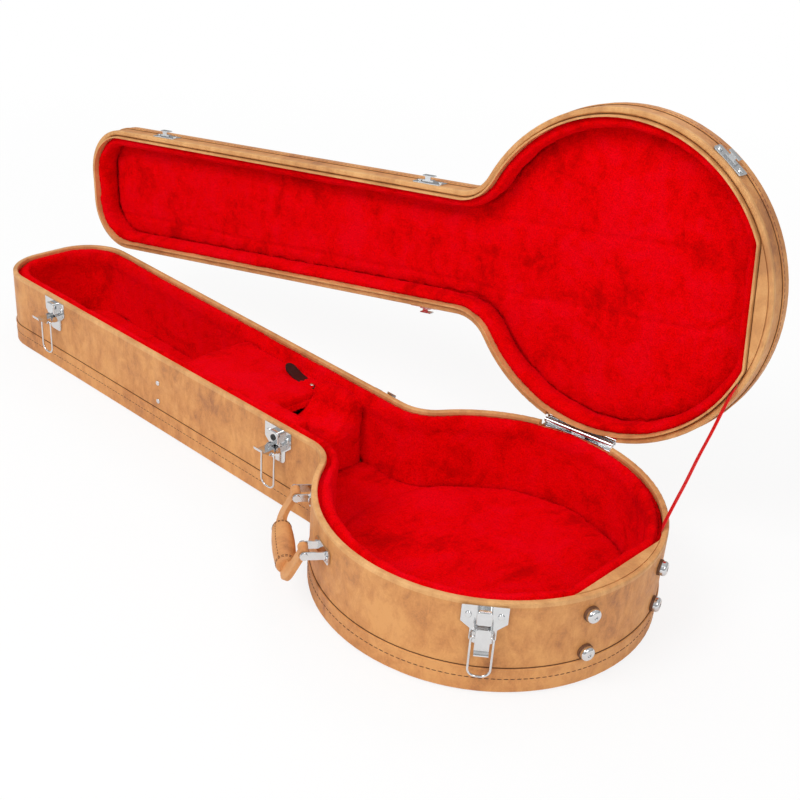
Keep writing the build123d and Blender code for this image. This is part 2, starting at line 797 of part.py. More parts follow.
# Draw latches, each made in its wall frame with the lever closed and the bail up
pin_point = (lever_pin_reach, lever_pin_z)
bail_point = (bail_pivot_y, bail_pivot_z)
ear_inside = lever_width / 2 + lever_clearance
pin_half_length = ear_inside + ear_thickness + lever_sheet / 3
lever_web_y = lever_reach - lever_sheet / 2
lever_top = lever_pin_z + lever_head
lever_foot = lever_pin_z - lever_length

with BuildPart() as latch_plate:
    with BuildSketch(Plane.XZ):
        with BuildLine():
            Polyline(
                (0, latch_plate_top),
                (latch_plate_width / 2, latch_plate_top),
                (latch_plate_width / 2, latch_plate_top - latch_shoulder_height),
                (latch_foot_width / 2, latch_plate_top - latch_neck_height),
                (latch_foot_width / 2, latch_plate_top - latch_plate_height),
                (0, latch_plate_top - latch_plate_height),
            )
            mirror(about=Plane.YZ)
        latch_outline = make_face()
        fillet(latch_outline.vertices().group_by(Axis.Y)[0], latch_foot_width / 4)
        fillet(latch_outline.vertices().group_by(Axis.Y)[-1], latch_corner_radius)
        with Locations((-latch_screw_x, latch_screw_z), (latch_screw_x, latch_screw_z)):
            Circle(screw_shank_radius, mode=Mode.SUBTRACT)
    extrude(amount=-latch_plate_thickness)
    with BuildSketch(Plane.XZ):
        with Locations((0, latch_plate_top - cover_height / 2 - latch_corner_radius)):
            RectangleRounded(cover_width, cover_height, latch_corner_radius)
    extrude(amount=-cover_reach)
    fillet(latch_plate.edges().group_by(Axis.Y)[-1], latch_corner_radius / 2)
    for side in (-1, 1):
        with BuildSketch(Plane.YZ.offset(side * (ear_inside + ear_thickness / 2))):
            with Locations(pin_point):
                Circle(ear_radius)
            with Locations((lever_pin_reach / 2, lever_pin_z)):
                Rectangle(lever_pin_reach, 2 * ear_radius)
            with Locations(pin_point):
                Circle(lever_pin_radius, mode=Mode.SUBTRACT)
        extrude(amount=ear_thickness / 2, both=True)

with BuildPart() as lever_pin:
    with BuildSketch(Plane.YZ):
        with Locations(pin_point):
            Circle(lever_pin_radius)
    extrude(amount=pin_half_length, both=True)

with BuildPart() as latch_lever:
    with BuildSketch(Plane.YZ):
        with BuildLine():
            curl_top = (lever_web_y, lever_foot + tab_curl_drop)
            Line((lever_web_y, lever_top), curl_top)
            TangentArc(curl_top, (lever_web_y + tab_curl_reach, lever_foot), tangent=(0, -1))
        trace(line_width=lever_sheet)
    extrude(amount=lever_width / 2, both=True)
    fillet(latch_lever.edges().filter_by(Axis.Y).group_by(Axis.Z)[0], lever_width / 4)
    for side in (-1, 1):
        with BuildSketch(Plane.YZ.offset(side * (lever_width - lever_sheet) / 2)):
            with BuildLine():
                Polyline(
                    (lever_web_y, lever_top),
                    (lever_reach - lever_flange_depth, lever_top),
                    (lever_reach - lever_flange_depth, bail_pivot_z - lever_tip_height / 2),
                    (lever_web_y, bail_pivot_z - 2 * lever_tip_height),
                    close=True,
                )
            make_face()
            with Locations(pin_point):
                Circle(lever_pin_radius + lever_hole_clearance, mode=Mode.SUBTRACT)
            with Locations(bail_point):
                Circle(bail_wire_radius + lever_hole_clearance, mode=Mode.SUBTRACT)
        extrude(amount=lever_sheet / 2, both=True)

with BuildPart() as latch_bail:
    with BuildLine(Plane.XZ.offset(-bail_pivot_y)) as bail_wire:
        FilletPolyline(
            (-bail_end_x, bail_pivot_z),
            (-bail_half_width, bail_pivot_z),
            (-bail_half_width, bail_pivot_z + bail_length),
            (bail_half_width, bail_pivot_z + bail_length),
            (bail_half_width, bail_pivot_z),
            (bail_end_x, bail_pivot_z),
            radius=[bail_end_radius, bail_corner_radius, bail_corner_radius, bail_end_radius],
        )
    with BuildSketch(Plane(bail_wire.line @ 0, z_dir=bail_wire.line % 0)):
        Circle(bail_wire_radius)
    sweep()

with BuildPart() as keeper:
    with BuildSketch(Plane.XZ):
        with Locations((0, keeper_screw_z)):
            RectangleRounded(keeper_width, keeper_height, latch_corner_radius)
        with Locations((-latch_screw_x, keeper_screw_z), (latch_screw_x, keeper_screw_z)):
            Circle(screw_shank_radius, mode=Mode.SUBTRACT)
    extrude(amount=-keeper_sheet)
    with BuildSketch(Plane.YZ):
        with BuildLine():
            Polyline(
                (0, hook_low),
                (keeper_boss_reach, hook_low),
                (keeper_boss_reach, hook_low + keeper_boss_height),
                (keeper_sheet, keeper_low + keeper_height - latch_corner_radius),
                (0, keeper_low + keeper_height - latch_corner_radius),
                close=True,
            )
        make_face()
        with Locations((hook_reach, hook_low)):
            Rectangle(hook_lip, hook_shelf + hook_lip_height, align=(Align.MAX, Align.MIN))
    extrude(amount=hook_width / 2, both=True)
    fillet(keeper.edges().filter_by(Axis.X).sort_by(Axis.Y)[-2:], hook_lip / 3)
    with BuildSketch(Plane.YZ):
        with Locations((keeper_sheet, hook_low)):
            Rectangle(hook_reach - keeper_sheet - hook_lip / 2, hook_shelf, align=Align.MIN)
    extrude(amount=hook_neck_width / 2, both=True)

with BuildPart() as lock_cylinder:
    with BuildSketch(Plane.XZ.offset(-cover_reach)):
        with Locations((0, latch_plate_top - cover_height / 2 - latch_corner_radius)):
            Circle(lock_radius)
            Rectangle(lock_radius / 4, lock_radius, mode=Mode.SUBTRACT)
    extrude(amount=-lock_proud)

pin_axis = Axis((0, lever_pin_reach, lever_pin_z), (1, 0, 0))
bail_axis = Axis((0, bail_pivot_y, bail_pivot_z), (1, 0, 0))
for i, (frame, is_open) in enumerate(zip(latch_frames, latch_is_open), 1):
    lever_turn = lever_open_angle if is_open else 0
    bail = latch_bail.part.rotate(bail_axis, -180 - lever_turn)
    keep(f"latch_{i}_plate", placed(latch_plate.part, frame))
    keep(f"latch_{i}_lever", placed(latch_lever.part.rotate(pin_axis, lever_turn), frame))
    keep(f"latch_{i}_bail", placed(bail.rotate(pin_axis, lever_turn), frame))
keep("lever_pins", Compound([placed(lever_pin.part, f) for f in latch_frames]))
keep("latch_plate_screws", Compound(latch_screws))
keep("lock_cylinder", placed(lock_cylinder.part, latch_frames[1]))
keep("lid_keepers", opened(Compound([placed(keeper.part, f) for f in latch_frames])))
keep("keeper_screws", opened(Compound(keeper_screws)))

# Carrying handle: two brackets with a pin each, a leather strap and a padded grip
handle_pin_x = bowl_radius * sin(radians(handle_bracket_turn))
bracket_drop = bowl_radius * (1 - cos(radians(handle_bracket_turn)))
handle_pin_y = handle_pin_reach - bracket_drop
arm_outside = arm_half_gap + bracket_sheet
handle_axis = Axis((0, handle_pin_y, handle_pin_height), (1, 0, 0))
handle_pin_point = (handle_pin_y, handle_pin_height)


def handle_bracket(side):
    """A bracket in the handle's frame: a flat plate on the wall and two arms for the pin."""
    plate_frame = Plane.XZ.rotated((0, 0, -side * handle_bracket_turn))
    plate_frame.origin = Vector(side * handle_pin_x, -bracket_drop, handle_pin_height)
    with BuildPart() as bracket:
        for arm in (-1, 1):
            x = side * handle_pin_x + arm * (arm_half_gap + bracket_sheet / 2)
            with BuildSketch(Plane.YZ.offset(x)):
                with Locations(((handle_pin_y - 2 * bracket_drop) / 2, handle_pin_height)):
                    Rectangle(handle_pin_y + 2 * bracket_drop, arm_height)
                with Locations(handle_pin_point):
                    Circle(arm_height / 2)
                    Circle(handle_pin_radius, mode=Mode.SUBTRACT)
            extrude(amount=bracket_sheet / 2, both=True)
        with Locations((0, -bowl_radius, handle_pin_height)):
            Cylinder(bowl_radius, 2 * bracket_height, mode=Mode.SUBTRACT)
        with BuildSketch(plate_frame):
            RectangleRounded(bracket_width, bracket_height, bracket_height / 4)
            with Locations((-bracket_screw_x, 0), (bracket_screw_x, 0)):
                Circle(screw_shank_radius, mode=Mode.SUBTRACT)
        extrude(amount=-bracket_sheet)
    return placed(bracket.part, handle_frame)


keep("handle_bracket_left", handle_bracket(-1))
keep("handle_bracket_right", handle_bracket(1))
keep("handle_bracket_screws", Compound(bracket_screws))

with BuildPart() as handle_pins:
    for side in (-1, 1):
        with BuildSketch(Plane.YZ.offset(side * handle_pin_x)):
            with Locations(handle_pin_point):
                Circle(handle_pin_radius)
        extrude(amount=arm_outside, both=True)
        for end in (-1, 1):
            with BuildSketch(Plane.YZ.offset(side * handle_pin_x + end * arm_outside)):
                with Locations(handle_pin_point):
                    Circle(handle_pin_head_radius)
            extrude(amount=end * handle_pin_head_thickness)
keep("handle_pins", placed(handle_pins.part, handle_frame))

strap_half_length = handle_pin_x + loop_half_width
strap_middle_z = handle_pin_height - strap_drop
with BuildPart() as handle_strap:
    with BuildSketch(Plane.XZ.offset(-handle_pin_y)):
        with Locations((0, handle_pin_height)):
            Rectangle(
                2 * strap_half_length,
                strap_drop + strap_bar_height / 2,
                align=(Align.CENTER, Align.MAX),
            )
        with Locations((0, handle_pin_height)):
            Rectangle(
                2 * strap_half_length - 4 * loop_half_width,
                strap_drop - strap_bar_height / 2,
                align=(Align.CENTER, Align.MAX),
                mode=Mode.SUBTRACT,
            )
    extrude(amount=strap_thickness / 2, both=True)
    strap_corners = handle_strap.edges().filter_by(Axis.Y).group_by(Axis.Z)
    fillet(strap_corners[0], strap_outer_corner)
    fillet(strap_corners[1], strap_inner_corner)
    for side in (-1, 1):
        with BuildSketch(Plane.YZ.offset(side * handle_pin_x)):
            with Locations(handle_pin_point):
                Circle(loop_radius)
        extrude(amount=loop_half_width, both=True)
        with BuildSketch(Plane.YZ.offset(side * handle_pin_x)):
            with Locations(handle_pin_point):
                Circle(handle_pin_radius + handle_pin_clearance)
        extrude(amount=2 * loop_half_width, both=True, mode=Mode.SUBTRACT)
    with BuildSketch(Plane.YZ.offset(-grip_half_length)):
        with Locations((handle_pin_y, strap_middle_z)):
            Rectangle(2 * strap_thickness, 2 * strap_bar_height)
    extrude(amount=2 * grip_half_length, mode=Mode.SUBTRACT)
keep("handle_end_straps", placed(handle_strap.part.rotate(handle_axis, handle_hang_angle), handle_frame))

with BuildPart() as handle_grip:
    with BuildSketch(Plane.XZ.offset(-handle_pin_y)):
        with BuildLine():
            Polyline(
                (-grip_half_length, strap_middle_z + grip_end_radius),
                (-grip_half_length, strap_middle_z),
                (grip_half_length, strap_middle_z),
                (grip_half_length, strap_middle_z + grip_end_radius),
            )
            ThreePointArc(
                (-grip_half_length, strap_middle_z + grip_end_radius),
                (0, strap_middle_z + grip_radius),
                (grip_half_length, strap_middle_z + grip_end_radius),
            )
        make_face()
    revolve(axis=Axis((0, handle_pin_y, strap_middle_z), (1, 0, 0)))
    fillet(handle_grip.edges().group_by(Axis.X)[0], grip_edge_radius)
    fillet(handle_grip.edges().group_by(Axis.X)[-1], grip_edge_radius)
keep("handle_grip", placed(handle_grip.part.rotate(handle_axis, handle_hang_angle), handle_frame))

# Ribbon that stops the lid, held by a clip inside each rim
ribbon_frame = bowl_plane(ribbon_angle)
clip_y = -welt_width - clip_gap - clip_thickness / 2


def ribbon_section(z, width, thickness):
    """A level rectangle in the slot behind the rim welts, centred on the clips."""
    middle = ribbon_frame.from_local_coords((0, clip_y, z))
    with BuildSketch(Plane(middle, x_dir=ribbon_frame.x_dir, z_dir=up)) as section:
        Rectangle(width, thickness)
    return section.sketch


with BuildPart() as ribbon_clip_base:
    add(ribbon_section(lining_top + ribbon_gap, clip_width, clip_thickness))
    extrude(amount=base_height - lining_top - 2 * ribbon_gap)
keep("ribbon_clip_base", ribbon_clip_base.part)

with BuildPart() as ribbon_clip_lid:
    add(ribbon_section(base_height + ribbon_gap, clip_width, clip_thickness))
    extrude(amount=hinge_recess_half_height - 2 * ribbon_gap - hinge_drop)
keep("ribbon_clip_lid", opened(ribbon_clip_lid.part))

ribbon_start = ribbon_section(base_height + ribbon_gap / 2, ribbon_width, ribbon_thickness)
ribbon_end = opened(
    ribbon_section(base_height - ribbon_gap / 2, ribbon_width, ribbon_thickness)
)
with BuildPart() as lid_ribbon:
    loft([ribbon_start.face(), ribbon_end.face()], ruled=True)
keep("lid_ribbon", lid_ribbon.part)
print("ribbon length", (ribbon_end.face().center() - ribbon_start.face().center()).length)
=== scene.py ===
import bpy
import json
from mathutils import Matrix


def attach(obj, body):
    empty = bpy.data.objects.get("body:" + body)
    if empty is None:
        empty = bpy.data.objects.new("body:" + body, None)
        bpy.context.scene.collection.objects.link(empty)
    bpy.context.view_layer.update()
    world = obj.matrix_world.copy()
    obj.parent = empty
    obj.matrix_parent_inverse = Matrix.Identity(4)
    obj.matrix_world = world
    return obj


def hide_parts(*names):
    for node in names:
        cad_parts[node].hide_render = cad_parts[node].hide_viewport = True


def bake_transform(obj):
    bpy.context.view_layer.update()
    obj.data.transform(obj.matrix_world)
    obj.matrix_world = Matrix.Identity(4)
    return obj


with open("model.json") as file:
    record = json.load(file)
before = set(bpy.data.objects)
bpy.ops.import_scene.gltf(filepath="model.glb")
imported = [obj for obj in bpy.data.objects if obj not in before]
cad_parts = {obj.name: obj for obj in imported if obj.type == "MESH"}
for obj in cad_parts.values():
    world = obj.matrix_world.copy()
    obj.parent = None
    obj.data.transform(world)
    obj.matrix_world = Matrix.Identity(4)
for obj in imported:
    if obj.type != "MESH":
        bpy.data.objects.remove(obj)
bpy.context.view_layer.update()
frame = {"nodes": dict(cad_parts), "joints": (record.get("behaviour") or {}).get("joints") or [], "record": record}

import bpy
import bmesh
import json
from math import atan2, ceil, cos, exp, pi, radians, sin, sqrt
from mathutils import Matrix, Vector, kdtree, noise

mm = 0.001
up = Vector((0, 0, 1))
nodes = frame["nodes"]
joints = {joint["name"]: joint for joint in frame["joints"]}
print("frame loaded with", len(nodes), "nodes")


# The photograph's view, solved from the rims, the seam and the bottom edge
view = {
    "place": (0.6742, -0.8825, 0.7982),
    "azimuth": 42.69,
    "elevation": 27.89,
    "roll": 4.22,
    "focalPixels": 1219.4,
    "framePixels": 800,
    "sensor": 36.0,
}


def addCamera(s):
    az, el, roll = (radians(s[key]) for key in ("azimuth", "elevation", "roll"))
    ahead = Vector((-sin(az) * cos(el), cos(az) * cos(el), -sin(el)))
    level = ahead.cross(up).normalized()
    top = level.cross(ahead)
    turn = Matrix((level * cos(roll) + top * sin(roll), top * cos(roll) - level * sin(roll), -ahead))
    lens = bpy.data.cameras.new("camera")
    lens.sensor_width = s["sensor"]
    lens.lens = s["focalPixels"] / s["framePixels"] * s["sensor"]
    lens.clip_end = 20
    obj = bpy.data.objects.new("camera", lens)
    obj.matrix_world = Matrix.Translation(s["place"]) @ turn.transposed().to_4x4()
    bpy.context.collection.objects.link(obj)
    bpy.context.scene.camera = obj


# Three large soft lamps and a pale sky; floor and sky are pure white to the camera only
studio = {
    "lamps": {
        "keyLamp": ((-0.5, -1.9, 2.3), (-0.2, 0.0, 0.1), 1.5, 34),
        "fillLamp": ((2.0, -0.9, 1.7), (-0.1, 0.0, 0.1), 1.4, 14),
        "backLamp": ((-0.7, 1.8, 2.2), (-0.2, 0.1, 0.1), 1.4, 10),
    },
    "skyStrength": 0.5,
    "skyStops": ((0.0, 0.30), (0.46, 0.35), (0.56, 0.8), (0.75, 1.1), (1.0, 1.25)),
    "floorSize": 12.0,
    "floorDrop": 0.5 * mm,
    "floorGlow": ((0.0, 0.8), (0.5, 0.9), (1.0, 1.0)),
    "glowReach": 2.2,
    "paper": (0.95, 0.95, 0.95, 1),
}


def addLamp(name, place, aim, size, power):
    lamp = bpy.data.lights.new(name, "AREA")
    lamp.shape = "DISK"
    lamp.size = size
    lamp.energy = power
    obj = bpy.data.objects.new(name, lamp)
    turn = (Vector(aim) - Vector(place)).to_track_quat("-Z", "Y")
    obj.matrix_world = Matrix.Translation(place) @ turn.to_matrix().to_4x4()
    bpy.context.collection.objects.link(obj)


def addSky(s):
    # even light for the case, with a darker horizon that gives the plated fittings their contrast
    sky = bpy.data.worlds.new("studioSky")
    sky.use_nodes = True
    bpy.context.scene.world = sky
    skyNodes, links = sky.node_tree.nodes, sky.node_tree.links
    height = skyNodes.new("ShaderNodeSeparateXYZ")
    links.new(skyNodes.new("ShaderNodeTexCoord").outputs["Generated"], height.inputs[0])
    scaled = skyNodes.new("ShaderNodeMapRange")
    scaled.inputs["From Min"].default_value = -1.0
    links.new(height.outputs["Z"], scaled.inputs["Value"])
    shade = skyNodes.new("ShaderNodeValToRGB")
    while len(shade.color_ramp.elements) < len(s["skyStops"]):
        shade.color_ramp.elements.new(0.5)
    for element, (at, grey) in zip(shade.color_ramp.elements, s["skyStops"]):
        element.position = at
        element.color = (grey, grey, grey, 1)
    links.new(scaled.outputs[0], shade.inputs["Fac"])
    light = skyNodes["Background"]
    links.new(shade.outputs["Color"], light.inputs["Color"])
    light.inputs["Strength"].default_value = s["skyStrength"]
    white = skyNodes.new("ShaderNodeBackground")
    white.inputs["Color"].default_value = (1, 1, 1, 1)
    white.inputs["Strength"].default_value = 1.0
    path = skyNodes.new("ShaderNodeLightPath")
    mix = skyNodes.new("ShaderNodeMixShader")
    links.new(path.outputs["Is Camera Ray"], mix.inputs[0])
    links.new(light.outputs[0], mix.inputs[1])
    links.new(white.outputs[0], mix.inputs[2])
    links.new(mix.outputs[0], skyNodes["World Output"].inputs[0])


def addFloor(s):
    # plain pale paper; the camera sees it whiten with distance, and it keeps the case's shadow
    bpy.ops.mesh.primitive_plane_add(size=s["floorSize"], location=(0, 0, -s["floorDrop"]))
    obj = bpy.context.object
    obj.name = "floor"
    mat = bpy.data.materials.new("floorPaper")
    mat.use_nodes = True
    floorNodes, links = mat.node_tree.nodes, mat.node_tree.links
    paper = floorNodes["Principled BSDF"]
    paper.inputs["Base Color"].default_value = s["paper"]
    paper.inputs["Roughness"].default_value = 0.9
    paper.inputs["Specular IOR Level"].default_value = 0.1
    glow = floorNodes.new("ShaderNodeEmission")
    glow.inputs["Color"].default_value = (1, 1, 1, 1)
    glow.inputs["Strength"].default_value = 1.0
    distance = floorNodes.new("ShaderNodeVectorMath")
    distance.operation = "LENGTH"
    links.new(floorNodes.new("ShaderNodeTexCoord").outputs["Object"], distance.inputs[0])
    reach = floorNodes.new("ShaderNodeMapRange")
    reach.inputs["From Max"].default_value = s["glowReach"]
    links.new(distance.outputs["Value"], reach.inputs["Value"])
    amount = floorNodes.new("ShaderNodeValToRGB")
    amount.color_ramp.elements.new(0.5)
    for element, (at, share) in zip(amount.color_ramp.elements, s["floorGlow"]):
        element.position = at
        element.color = (share, share, share, 1)
    links.new(reach.outputs[0], amount.inputs["Fac"])
    path = floorNodes.new("ShaderNodeLightPath")
    seen = floorNodes.new("ShaderNodeMath")
    seen.operation = "MULTIPLY"
    links.new(path.outputs["Is Camera Ray"], seen.inputs[0])
    links.new(amount.outputs["Color"], seen.inputs[1])
    mix = floorNodes.new("ShaderNodeMixShader")
    links.new(seen.outputs[0], mix.inputs[0])
    links.new(paper.outputs[0], mix.inputs[1])
    links.new(glow.outputs[0], mix.inputs[2])
    links.new(mix.outputs[0], floorNodes["Material Output"].inputs["Surface"])
    obj.data.materials.append(mat)


addCamera(view)
for lampName, lampFacts in studio["lamps"].items():
    addLamp(lampName, *lampFacts)
addSky(studio)
addFloor(studio)
bpy.context.scene.view_settings.view_transform = "Standard"
print("camera, lights and floor done")


class Finish:
    # one material, with nodes that read the object's own coordinates in metres
    def __init__(self, name):
        self.material = bpy.data.materials.new(name)
        self.material.use_nodes = True
        self.tree = self.material.node_tree
        self.surface = self.tree.nodes["Principled BSDF"]
        self.place = self.tree.nodes.new("ShaderNodeTexCoord").outputs["Object"]

    def add(self, kind, links=(), **settings):
        node = self.tree.nodes.new(kind)
        for key, value in settings.items():
            setattr(node, key, value)
        for key, value in links:
            if isinstance(value, bpy.types.NodeSocket):
                self.tree.links.new(value, node.inputs[key])
            else:
                node.inputs[key].default_value = value
        return node

    def stretched(self, scale, turn=0.0):
        links = (("Vector", self.place), ("Scale", scale), ("Rotation", (0, 0, turn)))
        return self.add("ShaderNodeMapping", links).outputs["Vector"]

    def noise(self, scale, detail=4.0, rough=0.55, warp=0.0, place=None):
        links = (
            ("Vector", place or self.place),
            ("Scale", scale),
            ("Detail", detail),
            ("Roughness", rough),
            ("Distortion", warp),
        )
        return self.add("ShaderNodeTexNoise", links).outputs["Fac"]

    def cells(self, scale):
        links = (("Vector", self.place), ("Scale", scale))
        return self.add("ShaderNodeTexVoronoi", links).outputs["Distance"]

    def ramp(self, value, stops):
        node = self.add("ShaderNodeValToRGB", (("Fac", value),))
        while len(node.color_ramp.elements) < len(stops):
            node.color_ramp.elements.new(0.5)
        for element, (at, colour) in zip(node.color_ramp.elements, stops):
            element.position = at
            element.color = (*colour, 1) if isinstance(colour, tuple) else (colour, colour, colour, 1)
        return node.outputs["Color"]

    def mix(self, amount, a, b, blend="MIX"):
        links = ((0, amount), (6, a), (7, b))
        return self.add("ShaderNodeMix", links, data_type="RGBA", blend_type=blend).outputs[2]

    def sum(self, a, b, share):
        links = ((0, b), (1, share), (2, a))
        return self.add("ShaderNodeMath", links, operation="MULTIPLY_ADD").outputs[0]

    def share(self, value, whole):
        return self.add("ShaderNodeMath", ((0, value), (1, whole)), operation="DIVIDE").outputs[0]

    def bump(self, height, strength, distance):
        links = (("Height", height), ("Strength", strength), ("Distance", distance))
        raised = self.add("ShaderNodeBump", links).outputs["Normal"]
        self.tree.links.new(raised, self.surface.inputs["Normal"])

    def finish(self, **values):
        for name, value in values.items():
            socket = self.surface.inputs[name.replace("_", " ")]
            if isinstance(value, bpy.types.NodeSocket):
                self.tree.links.new(value, socket)
            else:
                socket.default_value = value
        return self.material


def leatherette(name, dark, middle, light, cloud=60.0, gloss=(0.42, 0.58)):
    # marbled covering: soft clouds broken up by wispy strokes, over a fine pebble grain
    m = Finish(name)
    strokes = m.noise(cloud, 8, 0.72, 0.35, m.stretched((1.0, 1.0, 0.55), 0.6))
    patches = m.noise(cloud * 0.24, 4, 0.6, 0.3)
    flecks = m.noise(cloud * 8, 3, 0.7)
    both = m.sum(m.sum(strokes, patches, 0.9), flecks, 0.25)
    colour = m.ramp(m.share(both, 2.15), [(0.37, dark), (0.47, middle), (0.58, light)])
    grain = m.sum(m.cells(760), m.noise(230, 5, 0.6), 0.9)
    m.bump(grain, 0.2, 0.45 * mm)
    rough = m.ramp(m.noise(90, 4, 0.6), [(0.3, gloss[0]), (0.7, gloss[1])])
    return m.finish(Base_Color=colour, Roughness=rough, Specular_IOR_Level=0.35)


def pile(name, dark, middle, light, nap=14.0):
    # brushed plush: streaks where the pile leans, its own tone in the dark and middle stops and painted sheen
    # highlight in the lightest stop, over short tufts
    m = Finish(name)
    leanToneAndSheen = m.noise(nap, 7, 0.7, 0.4, m.stretched((1, 1, 1.2)))
    streakToneAndSheen = m.noise(nap * 5, 5, 0.65, 0.5, m.stretched((1.0, 0.5, 0.6), 0.35))
    both = m.share(m.sum(leanToneAndSheen, streakToneAndSheen, 0.5), 1.5)
    colour = m.ramp(both, [(0.38, dark), (0.48, middle), (0.6, light)])
    tufts = m.noise(640, 3, 0.75)
    colour = m.mix(0.8, colour, m.ramp(tufts, [(0.32, 0.62), (0.6, 1.0)]), "MULTIPLY")
    m.bump(m.sum(tufts, m.noise(150, 4, 0.65), 1.3), 0.8, 1.4 * mm)
    m.finish(Base_Color=colour, Roughness=0.95, Specular_IOR_Level=0.03)
    return m.finish(Sheen_Weight=0.45, Sheen_Roughness=0.5, Sheen_Tint=(1.0, 0.0, 0.02, 1))


def plated(name, colour, roughness):
    m = Finish(name)
    haze = m.noise(160, 4, 0.6)
    rough = m.ramp(haze, [(0.35, roughness * 0.7), (0.75, roughness * 1.7)])
    m.bump(m.noise(1000, 3, 0.6, 0.0, m.stretched((1, 1, 0.2))), 0.05, 0.2 * mm)
    tint = m.ramp(haze, [(0.3, tuple(part * 0.92 for part in colour)), (0.7, colour)])
    return m.finish(Base_Color=tint, Metallic=1.0, Roughness=rough)


def fineGrained(name, dark, light, scale, roughness, bump=0.2):
    m = Finish(name)
    fine = m.noise(scale, 4, 0.6)
    m.bump(fine, bump, 0.4 * mm)
    return m.finish(Base_Color=m.ramp(fine, [(0.3, dark), (0.7, light)]), Roughness=roughness)


covering = leatherette("tanCovering", (0.39, 0.152, 0.06), (0.62, 0.262, 0.084), (0.755, 0.36, 0.122))
# the welt's lighter tan is partly its own tone and partly painted highlight along the rim edges
weltToneAndHighlight = leatherette("tanWeltHighlight", (0.54, 0.25, 0.094), (0.68, 0.34, 0.125), (0.82, 0.46, 0.185))
handleTints = (0.46, 0.19, 0.072), (0.63, 0.272, 0.098), (0.74, 0.355, 0.13)
handleHide = leatherette("tanHandleHide", *handleTints, cloud=90)
# the lightest red stop is painted sheen highlight on the pile; the dark and middle reds are its own tone
plush = pile("redPlush", (0.66, 0.0, 0.0), (0.96, 0.0, 0.001), (1.0, 0.001, 0.008))
nickel = plated("nickelPlate", (0.74, 0.75, 0.76), 0.12)
tabHide = fineGrained("darkTabHide", (0.012, 0.005, 0.005), (0.035, 0.014, 0.012), 300, 0.3)
thread = fineGrained("brownThread", (0.045, 0.014, 0.006), (0.11, 0.038, 0.016), 900, 0.7)
redThread = fineGrained("russetThread", (0.16, 0.035, 0.02), (0.3, 0.07, 0.04), 900, 0.7)
seamShade = fineGrained("seamShade", (0.05, 0.018, 0.007), (0.12, 0.045, 0.018), 500, 0.85)
lockRecessShade = fineGrained("paintedRecessShade", (0.008, 0.008, 0.009), (0.02, 0.02, 0.022), 400, 0.5)
washerHide = fineGrained("brownWasher", (0.11, 0.045, 0.02), (0.2, 0.085, 0.04), 300, 0.6)
weave = fineGrained("ribbonWeave", (0.62, 0.0, 0.003), (0.92, 0.003, 0.01), 1400, 0.6, 0.4)
bySlot = {
    "shell_covering": covering,
    "stitched_band": covering,
    "tan_welt": weltToneAndHighlight,
    "plush_lining": plush,
    "plated_steel": nickel,
    "handle_leather": handleHide,
    "tab_leather": tabHide,
    "foot_metal": nickel,
    "ribbon": weave,
}
for part in frame["record"]["subparts"]:
    skin = nodes[part["node"]].data.materials
    skin.clear()
    skin.append(bySlot[part["material_slot"]])
# painted shade: the lock cylinder is coloured near black for the shade in its recess
nodes["lock_cylinder"].data.materials[0] = lockRecessShade
nodes["tail_foot_washers"].data.materials[0] = washerHide
print("materials done")


# The case outline, from the same sizes as the walls
outline = {
    "bowlRadius": 0.190,
    "neckLength": 0.874,
    "endHalfWidth": 0.089,
    "heelHalfWidth": 0.0758,
    "waistRadius": 0.046,
    "cornerRadius": 0.066,
}


def arc(centre, radius, start, end, step):
    count = max(3, ceil(abs(end - start) * radius / step))
    for i in range(count):
        angle = start + (end - start) * i / count
        normal = Vector((cos(angle), sin(angle)))
        yield centre + normal * radius, normal


def caseOutline(grow=0.0, step=2 * mm):
    s = outline
    slope = (s["heelHalfWidth"] - s["endHalfWidth"]) / (s["neckLength"] - s["bowlRadius"])
    along = Vector((1, slope)).normalized()
    across = Vector((-along.y, along.x))
    start = Vector((-s["neckLength"], s["endHalfWidth"])) + across * s["waistRadius"]
    reach = s["bowlRadius"] + s["waistRadius"]
    run = start.dot(along)
    waist = start + along * (-run - sqrt(run**2 - start.dot(start) + reach**2))
    cornerX = s["cornerRadius"] - s["neckLength"]
    cornerY = s["endHalfWidth"] + slope * s["cornerRadius"] - s["cornerRadius"] / along.x
    corner = Vector((cornerX, cornerY))
    sideAngle = atan2(across.y, across.x)
    bowlAngle = atan2(waist.y, waist.x)
    half = []
    half += arc(Vector((0, 0)), s["bowlRadius"] + grow, 0, bowlAngle, step)
    inner = list(arc(waist, s["waistRadius"] - grow, bowlAngle - pi, sideAngle - pi, step))
    half += [(point, -normal) for point, normal in inner]
    sideStart = waist - across * (s["waistRadius"] - grow)
    sideEnd = corner + across * (s["cornerRadius"] + grow)
    count = ceil((sideEnd - sideStart).length / step)
    half += [(sideStart.lerp(sideEnd, i / count), across) for i in range(count)]
    half += arc(corner, s["cornerRadius"] + grow, sideAngle, pi, step)
    low = half[-1][0]
    count = ceil(low.y / step)
    half += [(Vector((low.x, low.y * (1 - i / count))), Vector((-1, 0))) for i in range(1, count + 1)]
    back = [(Vector((p.x, -p.y)), Vector((n.x, -n.y))) for p, n in reversed(half[1:-1])]
    return half + back


hinge = joints["lid_hinge"]
hingePlace = Vector(hinge["pos_m"])
lidTurn = Matrix.Rotation(-radians(hinge["range_deg"][1]), 4, Vector(hinge["axis"]))
openLid = Matrix.Translation(hingePlace) @ lidTurn @ Matrix.Translation(-hingePlace)
closedLid = openLid.inverted()
asBuilt = Matrix.Identity(4)
print("outline and lid hinge done")


